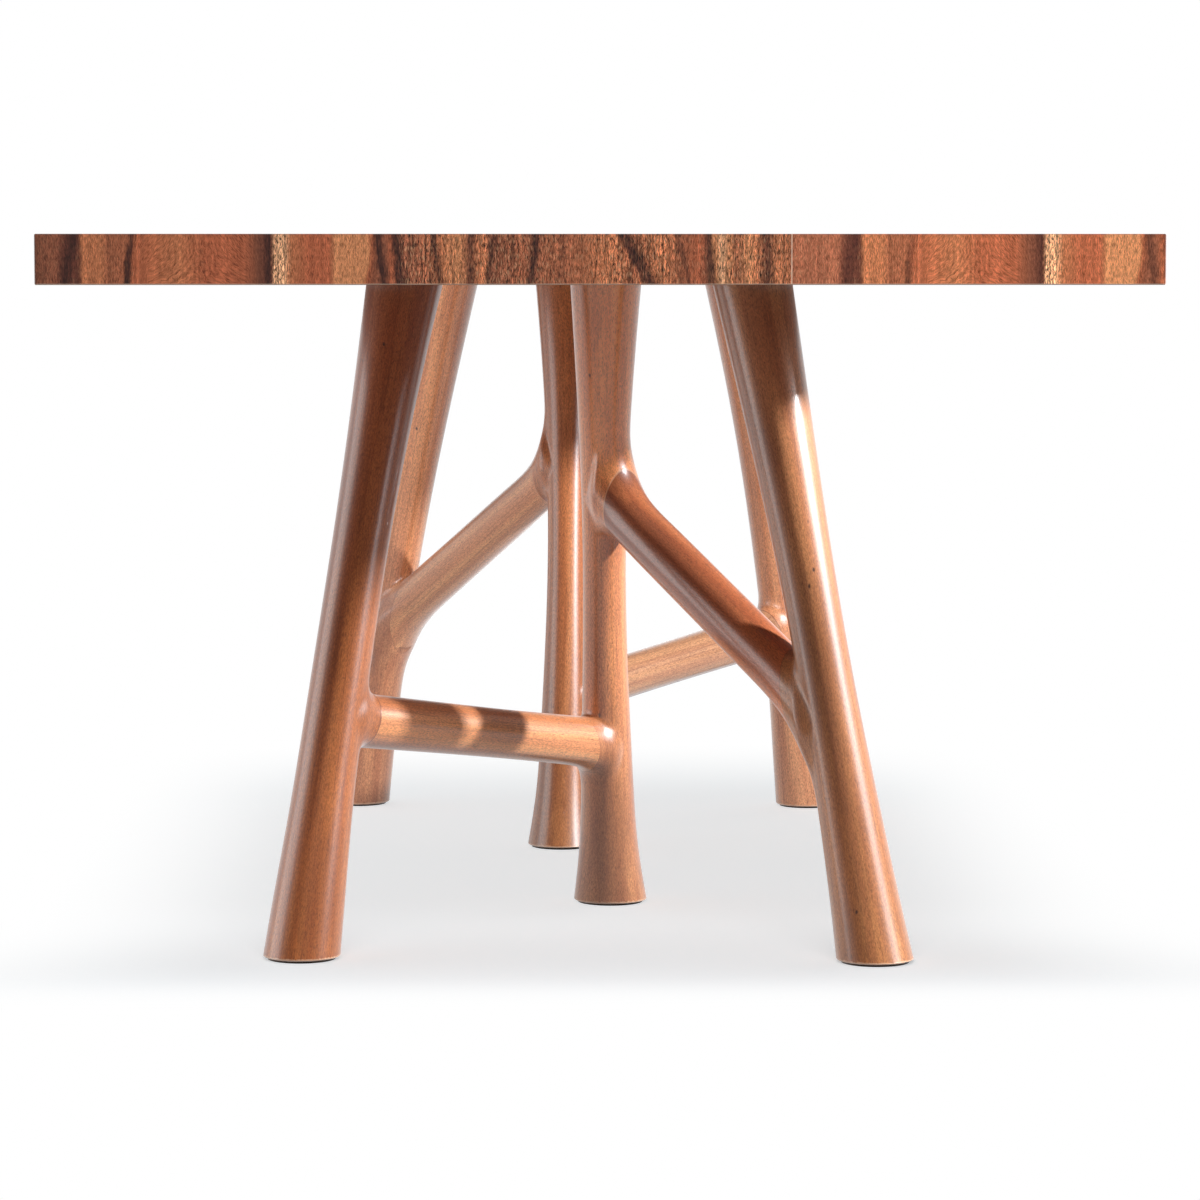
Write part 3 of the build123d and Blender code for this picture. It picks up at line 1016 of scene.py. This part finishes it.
def backing_veneer():
    """The plainer veneer under the top, straight grained and only sealed."""
    material, tree, shader = new_material("backing_veneer", Roughness=0.55, Specular_IOR_Level=0.4)
    place = tree.new("ShaderNodeTexCoord").outputs["Object"]
    bands = tree.stretched_noise(place, (26.0, 0.9, 1.0), 3.0, 0.55, 0.3)
    fibre = tree.stretched_noise(place, (700.0, 24.0, 1.0), 3.0, 0.6)
    colour = tree.blend(tree.ramp(bands, 0.3, 0.7), linear(146, 92, 64), linear(176, 116, 80))
    colour = tree.blend(tree.ramp(fibre, 0.5, 0.75, 0.0, 0.4), colour, linear(98, 58, 42))
    tree.feed(shader.inputs["Base Color"], colour)
    tree.feed(shader.inputs["Normal"], tree.bump(fibre, 0.0001, 0.3))
    return material


def hidden_wood(name, pale, dark):
    """Bare timber that only shows when the table is apart."""
    material, tree, shader = new_material(name, Roughness=0.7)
    place = tree.new("ShaderNodeTexCoord").outputs["Object"]
    grain = tree.stretched_noise(place, (160.0, 8.0, 160.0), 3.0, 0.55)
    tree.feed(shader.inputs["Base Color"], tree.blend(tree.ramp(grain, 0.35, 0.7), pale, dark))
    tree.feed(shader.inputs["Normal"], tree.bump(grain, 0.0002, 0.3))
    return material


def metal(name, colour, roughness, brushing):
    """Metal with fine brush marks along X and a slightly uneven polish."""
    material, tree, shader = new_material(name, Metallic=1.0)
    place = tree.new("ShaderNodeTexCoord").outputs["Object"]
    marks = tree.stretched_noise(place, (brushing * 0.03, brushing, brushing), 2.0, 0.6)
    clouds = tree.noise(place, 60.0, 2.0)
    tree.feed(shader.inputs["Roughness"], tree.ramp(clouds, 0.3, 0.7, roughness * 0.8, roughness * 1.25))
    darker = tuple(c * 0.72 for c in colour[:3]) + (1.0,)
    tree.feed(shader.inputs["Base Color"], tree.blend(tree.ramp(marks, 0.35, 0.7), colour, darker))
    tree.feed(shader.inputs["Normal"], tree.bump(marks, 0.00005, 0.3))
    return material


def felt():
    material, tree, shader = new_material("felt", Roughness=0.95, Sheen_Weight=0.4)
    place = tree.new("ShaderNodeTexCoord").outputs["Object"]
    fuzz = tree.noise(place, 900.0, 3.0, 0.7)
    colour = tree.blend(tree.ramp(fuzz, 0.35, 0.7), linear(58, 44, 38), linear(92, 74, 64))
    tree.feed(shader.inputs["Base Color"], colour)
    tree.feed(shader.inputs["Normal"], tree.bump(fuzz, 0.0006, 0.6))
    return material


def dress(node_names, material):
    """Give CAD nodes their finish."""
    for name in node_names:
        slots = nodes[name].data.materials
        slots.clear()
        slots.append(material)


left_leaf_start = leaf_seam - leaf_width
left_leaf = veneer("left_leaf_veneer", left_leaf_start)
right_leaf = veneer("right_leaf_veneer", leaf_seam, sister_leaf=1.0)
for side, finish in (("left", left_leaf), ("right", right_leaf)):
    dress([f"{sheet}_veneer_{side}_leaf" for sheet in ("top", "front_edge", "rear_edge")], finish)
dress(("left_edge_veneer",), veneer("left_side_veneer", left_leaf_start, folds_over_sides=True))
right_side = veneer("right_side_veneer", leaf_seam, sister_leaf=1.0, folds_over_sides=True)
dress(("right_edge_veneer",), right_side)
dress(("underside_veneer",), backing_veneer())
dress(("top_core",), hidden_wood("core_wood", linear(206, 176, 132), linear(170, 134, 92)))
dress(
    ("front_branch_tenons", "rear_branch_tenons"),
    hidden_wood("tenon_wood", linear(214, 182, 140), linear(178, 138, 98)),
)
plate_steel = metal("plate_steel", linear(150, 150, 150), 0.36, 900.0)
dress([n for n in nodes if n.endswith("_leg_plate")], plate_steel)
screw_steel = metal("screw_steel", linear(190, 190, 186), 0.26, 2400.0)
dress(("plate_screws", "leg_screws"), screw_steel)
dress(("plate_inserts",), metal("insert_brass", linear(196, 160, 90), 0.3, 1800.0))
dress([n for n in nodes if n.endswith("_foot_pad")], felt())

carved_wood = leg_wood()

# ------------------------------------------------------------------------- carving the trestles
# How each piece is tinted at its low end and at its high end, as shares of red, green and blue:
# partly the timber's own tone, and partly painted light and shade, such as the painted shade of the top
# on the front left leg's head, painted shade on the low end of the front high branch, and painted light
# on the rear outer legs.
tone_and_painted_light_tints = {
    "front_left_leg": ((0.84, 0.71, 0.39), (0.82, 0.66, 0.61)),
    "front_middle_leg": ((0.89, 1.02, 1.06), (1.96, 1.98, 1.80)),
    "front_right_leg": ((0.83, 0.90, 0.72), (1.00, 1.09, 1.16)),
    "front_low_branch": ((1.62, 2.00, 2.05), (1.20, 1.21, 1.13)),
    "front_high_branch": ((1.54, 1.31, 1.10), (0.65, 0.53, 0.49)),
    "rear_left_leg": ((0.85, 0.98, 1.18), (1.70, 2.09, 2.47)),
    "rear_middle_leg": ((0.75, 0.79, 0.72), (1.44, 1.38, 1.26)),
    "rear_right_leg": ((1.11, 1.38, 1.70), (1.31, 1.44, 1.61)),
    "rear_low_branch": ((0.98, 1.34, 1.70), (0.98, 1.34, 1.70)),
    "rear_high_branch": ((1.26, 1.62, 1.96), (1.11, 1.46, 1.83)),
}

turns = {"front": 0, "rear": 1}
other_side = {"left": "right", "middle": "middle", "right": "left"}
timber_number = 0
carved = [(leg.name, "leg", leg_mesh(leg)) for leg in legs]
carved += [(branch.name, "branch", branch_mesh(branch)) for branch in branches]
pieces = {}
for trestle, half_turns in turns.items():
    for name, kind, data in carved:
        where = other_side[name] if half_turns and kind == "leg" else name
        node = f"{trestle}_{where}_{kind}"
        piece = bpy.data.objects.new(f"{node}_carved", turned(data, node, half_turns, timber_number))
        bpy.context.scene.collection.objects.link(piece)
        note_tone_and_painted_light(piece.data, *tone_and_painted_light_tints[node])
        piece.data.materials.append(carved_wood)
        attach(piece, "root")
        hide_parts(node)
        pieces[node] = piece
        timber_number += 1


# ----------------------------------------------------------------------------- plate screws
screw_radius = 0.003
screw_head_radius = 0.006
screw_socket_radius = 0.002
screw_socket_depth = 0.002
screw_length = 0.020
screw_pitch = 0.0015
thread_depth = 0.0005
screw_rounding = 0.0002
blunt_end = 0.001
plate_rim = 0.024
screws_in_a_plate = 4


def screw_mesh():
    """A countersunk screw with a hexagonal socket and a rolled thread, its head's face at z = 0."""
    around = 24
    turns = [2 * math.pi * i / around for i in range(around)]
    rings = []

    def ring(height, radius):
        rings.append([(radius(a) * math.cos(a), radius(a) * math.sin(a), height) for a in turns])

    def hexagon(angle):
        return screw_socket_radius * math.cos(math.pi / 6) / math.cos(angle % (math.pi / 3) - math.pi / 6)

    ring(screw_socket_depth, lambda a: screw_socket_radius * 0.05)
    ring(screw_socket_depth, hexagon)
    ring(screw_rounding, hexagon)
    ring(0.0, lambda a: hexagon(a) * 1.08)
    ring(0.0, lambda a: screw_head_radius - 0.0003)
    ring(screw_rounding, lambda a: screw_head_radius - screw_rounding)
    neck = screw_head_radius - screw_radius
    ring(neck, lambda a: screw_radius - thread_depth)
    rings_in_a_pitch = 6
    count = int((screw_length - neck - blunt_end) / screw_pitch * rings_in_a_pitch)
    for i in range(1, count):
        height = neck + i * screw_pitch / rings_in_a_pitch

        def threaded(angle, height=height):
            wave = math.cos(2 * math.pi * height / screw_pitch - angle)
            return screw_radius - thread_depth / 2 + wave * thread_depth / 2

        ring(height, threaded)
    ring(screw_length, lambda a: screw_radius - 2 * thread_depth)
    data = bpy.data.meshes.new("screw")
    points = [point for one in rings for point in one]
    faces = []
    for level in range(len(rings) - 1):
        for i in range(around):
            j = (i + 1) % around
            low, high = level * around, (level + 1) * around
            faces.append((low + j, low + i, high + i, high + j))
    faces.append(tuple(range(around)))
    last = len(points) - around
    faces.append(tuple(last + i for i in reversed(range(around))))
    data.from_pydata(points, [], faces)
    mesh = bmesh.new()
    mesh.from_mesh(data)
    bmesh.ops.recalc_face_normals(mesh, faces=mesh.faces)
    mesh.to_mesh(data)
    mesh.free()
    data.polygons.foreach_set("use_smooth", np.ones(len(data.polygons), bool))
    data.set_sharp_from_angle(angle=math.radians(40))
    return data


def screw_places():
    """Where the plate screws stand: their heads' middles, on the underside of the top."""
    places = []
    for node in sorted(n for n in nodes if n.endswith("_leg_plate")):
        low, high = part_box(node)
        circle = (high.x - low.x) / 2 - plate_rim / 2
        middle = (low + high) / 2
        for i in range(screws_in_a_plate):
            turn = 2 * math.pi * (i + 0.5) / screws_in_a_plate
            places.append((middle.x + circle * math.cos(turn), middle.y + circle * math.sin(turn), low.z))
    return places


def screw_setter():
    """Geometry nodes that drive a screw into every place, each stopped at its own turn."""
    group = bpy.data.node_groups.new("drive_screws", "GeometryNodeTree")
    group.interface.new_socket("Places", in_out="INPUT", socket_type="NodeSocketGeometry")
    inputs = {"Screw": "Object", "Most Turn": "Float", "Seed": "Int", "Finish": "Material"}
    for name, kind in inputs.items():
        group.interface.new_socket(name, in_out="INPUT", socket_type=f"NodeSocket{kind}")
    group.interface.new_socket("Screws", in_out="OUTPUT", socket_type="NodeSocketGeometry")
    tree = Nodes(group)
    given = tree.new("NodeGroupInput").outputs
    screw = tree.new("GeometryNodeObjectInfo")
    tree.feed(screw.inputs["Object"], given["Screw"])
    turn = tree.new("FunctionNodeRandomValue", data_type="FLOAT")
    ends = {s.name: s for s in turn.inputs if s.enabled}
    tree.feed(ends["Min"], 0.0)
    tree.feed(ends["Max"], given["Most Turn"])
    tree.feed(ends["Seed"], given["Seed"])
    spun = tree.new("FunctionNodeAxisAngleToRotation")
    tree.feed(spun.inputs["Axis"], (0.0, 0.0, 1.0))
    tree.feed(spun.inputs["Angle"], next(s for s in turn.outputs if s.enabled))
    driven = tree.new("GeometryNodeInstanceOnPoints")
    tree.feed(driven.inputs["Points"], given["Places"])
    tree.feed(driven.inputs["Instance"], screw.outputs["Geometry"])
    tree.feed(driven.inputs["Rotation"], spun.outputs[0])
    real = tree.new("GeometryNodeRealizeInstances")
    tree.feed(real.inputs[0], driven.outputs[0])
    finished = tree.new("GeometryNodeSetMaterial")
    tree.feed(finished.inputs["Geometry"], real.outputs[0])
    tree.feed(finished.inputs["Material"], given["Finish"])
    tree.feed(tree.new("NodeGroupOutput").inputs[0], finished.outputs[0])
    return group


def drive_screws():
    """The 24 plate screws as one piece, in place of the plain ones."""
    places = bpy.data.meshes.new("screw_places")
    places.from_pydata(screw_places(), [], [])
    driven = bpy.data.objects.new("plate_screws_driven", places)
    one = bpy.data.objects.new("one_screw", screw_mesh())
    for thing in (driven, one):
        bpy.context.scene.collection.objects.link(thing)
    modifier = driven.modifiers.new("drive_screws", "NODES")
    modifier.node_group = screw_setter()
    inputs = modifier.node_group.interface.items_tree
    number = {item.name: item.identifier for item in inputs if item.in_out == "INPUT"}
    modifier[number["Screw"]] = one
    modifier[number["Most Turn"]] = math.pi / 3
    modifier[number["Seed"]] = 4
    modifier[number["Finish"]] = screw_steel
    bpy.context.view_layer.update()
    evaluated = driven.evaluated_get(bpy.context.evaluated_depsgraph_get())
    driven.data = bpy.data.meshes.new_from_object(evaluated)
    driven.modifiers.clear()
    bpy.data.objects.remove(one)
    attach(driven, "root")
    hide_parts("plate_screws")


drive_screws()


# --------------------------------------------------------------------------- floor and backdrop
def studio_floor():
    """A pale floor that melts into the white backdrop away from the table."""
    half = 12.0
    data = bpy.data.meshes.new("studio_floor")
    corners = [(-half, -half, 0), (half, -half, 0), (half, half, 0), (-half, half, 0)]
    data.from_pydata(corners, [], [(0, 1, 2, 3)])
    floor = bpy.data.objects.new("studio_floor", data)
    bpy.context.scene.collection.objects.link(floor)
    material = bpy.data.materials.new("studio_floor")
    material.use_nodes = True
    tree = Nodes(material.node_tree)
    material.node_tree.nodes.clear()
    output = tree.new("ShaderNodeOutputMaterial")
    place = tree.new("ShaderNodeTexCoord").outputs["Object"]
    x, y, _ = tree.parts(place)
    # the patch under the table is a painted shadow of the table, wider in front of the table than
    # behind it: inside it the floor shows its real shading and a lift, outside it plain white
    narrower = tree.ramp(y, -0.85, -0.30, 0.76, 1.0)
    table_shadow_patch = tree.times(
        tree.ramp(tree.times(tree.size(x), narrower), 0.28, 0.64, 1.0, 0.0),
        tree.times(tree.ramp(y, -0.92, -0.74), tree.ramp(y, 0.66, 1.36, 1.0, 0.0)),
    )
    melt = tree.less(1.0, table_shadow_patch)
    matt = tree.new("ShaderNodeBsdfDiffuse")
    # the floor darkens towards the dim end of the room
    grey = tree.ramp(y, -2.6, -1.0, 0.06, 0.62)
    cool_grey = tree.vector("MULTIPLY", tree.place(grey, grey, grey), (0.97, 1.0, 1.03))
    tree.feed(matt.inputs["Color"], cool_grey)
    glow = tree.new("ShaderNodeEmission")
    glow.inputs["Color"].default_value = (1.0, 1.0, 1.0, 1.0)
    seen = tree.new("ShaderNodeLightPath")
    shown = tree.larger(seen.outputs["Is Camera Ray"], seen.outputs["Is Glossy Ray"])
    shown = tree.larger(shown, seen.outputs["Is Transmission Ray"])
    # the lift is a little cool, which makes up for the warm light that bounces off the wood
    lift = tree.new("ShaderNodeEmission")
    lift.inputs["Color"].default_value = (0.940, 0.982, 1.0, 1.0)
    nearer = tree.ramp(y, -0.72, -0.36, floor_lift - 0.17, floor_lift)
    tree.feed(lift.inputs["Strength"], tree.times(shown, nearer))
    lit = tree.new("ShaderNodeAddShader")
    tree.feed(lit.inputs[0], matt.outputs[0])
    tree.feed(lit.inputs[1], lift.outputs[0])
    mix = tree.new("ShaderNodeMixShader")
    tree.feed(mix.inputs[0], tree.times(melt, shown))
    tree.feed(mix.inputs[1], lit.outputs[0])
    tree.feed(mix.inputs[2], glow.outputs[0])
    tree.feed(output.inputs["Surface"], mix.outputs[0])
    data.materials.append(material)
    return floor


def studio_world():
    """A room with white walls behind the table and beside it, and a dim end in front of it."""
    world = bpy.data.worlds.new("studio")
    bpy.context.scene.world = world
    world.use_nodes = True
    tree = Nodes(world.node_tree)
    world.node_tree.nodes.clear()
    output = tree.new("ShaderNodeOutputWorld")
    towards = tree.new("ShaderNodeTexCoord").outputs["Generated"]
    _, _, height = tree.parts(towards)
    # the white walls reach further round on the left than on the right
    behind = tree.vector("DOT_PRODUCT", towards, (-0.42, 0.907, 0.0))
    walls = tree.ramp(behind, -0.35, 0.30, front_wall, back_wall)
    room = tree.times(walls, tree.ramp(height, 0.25, 0.85, 1.0, 0.6))
    seen = tree.new("ShaderNodeLightPath")
    direct = tree.larger(seen.outputs["Is Camera Ray"], seen.outputs["Is Transmission Ray"])
    background = tree.new("ShaderNodeBackground")
    background.inputs["Color"].default_value = (1.0, 1.0, 1.0, 1.0)
    # its walls show white in the lacquer, but light the wood less
    dimmed = tree.math("MULTIPLY_ADD", seen.outputs["Is Diffuse Ray"], diffuse_share - 1.0, 1.0)
    room = tree.times(room, dimmed)
    tree.feed(background.inputs["Strength"], tree.larger(direct, room))
    tree.feed(output.inputs["Surface"], background.outputs[0])


def softbox(name, place, aim, size, power, colour=(1.0, 1.0, 1.0)):
    """A rectangular lamp at a place, turned to aim at a point."""
    lamp = bpy.data.lights.new(name, "AREA")
    lamp.shape = "RECTANGLE"
    lamp.size, lamp.size_y = size
    lamp.energy = power
    lamp.color = colour
    box = bpy.data.objects.new(name, lamp)
    bpy.context.scene.collection.objects.link(box)
    box.location = place
    box.rotation_euler = (Vector(aim) - Vector(place)).to_track_quat("-Z", "Y").to_euler()
    return box


floor_lift = 0.66
front_wall = 0.07
back_wall = 1.0
diffuse_share = 0.72
daylight = (1.0, 1.05, 1.10)
floor = studio_floor()
studio_world()
key_aim = (-0.05, -0.40, 0.35)
low_lamps = [
    softbox("key_lamp", (1.58, -0.78, 1.165), key_aim, (0.06, 0.10), 58.0, daylight),
    softbox("key_softbox", (3.7, -1.9, 2.08), key_aim, (1.7, 2.0), 66.0, daylight),
    softbox("left_softbox", (-2.6, -0.5, 0.75), (0.0, -0.1, 0.4), (1.6, 1.5), 17.0),
]
softbox("overhead_softbox", (0.0, -2.25, 2.6), (0.0, -0.2, 0.4), (1.8, 1.4), 64.0)

# the low lamps light neither the floor, where the legs would throw long shadows, nor the polished
# face of the top, where the lamps would show as a white sheet
from_above = bpy.data.collections.new("lit_from_above_only")
for thing in (floor, nodes["top_veneer_left_leaf"], nodes["top_veneer_right_leaf"]):
    from_above.objects.link(thing)
for kept in from_above.collection_objects:
    kept.light_linking.link_state = "EXCLUDE"
for lamp in low_lamps:
    lamp.light_linking.receiver_collection = from_above

# the table top keeps the lamps off the rear trestle's outer members, which a low fill makes up for
rear_members = bpy.data.collections.new("rear_members")
for name in ("rear_left_leg", "rear_right_leg", "rear_low_branch", "rear_high_branch"):
    rear_members.objects.link(pieces[name])
rear_fill = softbox("rear_fill_softbox", (-0.5, -1.9, 0.40), (0.0, 0.5, 0.4), (1.2, 0.5), 26.0)
rear_fill.light_linking.receiver_collection = rear_members

# -------------------------------------------------------------------------------------- camera
camera_data = bpy.data.cameras.new("camera")
camera_data.sensor_width = 36.0
camera_data.lens = 128.1
camera_data.clip_end = 60.0
camera = bpy.data.objects.new("camera", camera_data)
bpy.context.scene.collection.objects.link(camera)
camera_turn = math.radians(1.072)
camera_tilt = math.radians(4.660)
camera.location = (-0.077, -5.103, 0.745)
camera.rotation_euler = (math.pi / 2 - camera_tilt, 0.0, -camera_turn)
bpy.context.scene.camera = camera

bpy.context.scene.view_settings.view_transform = "Standard"
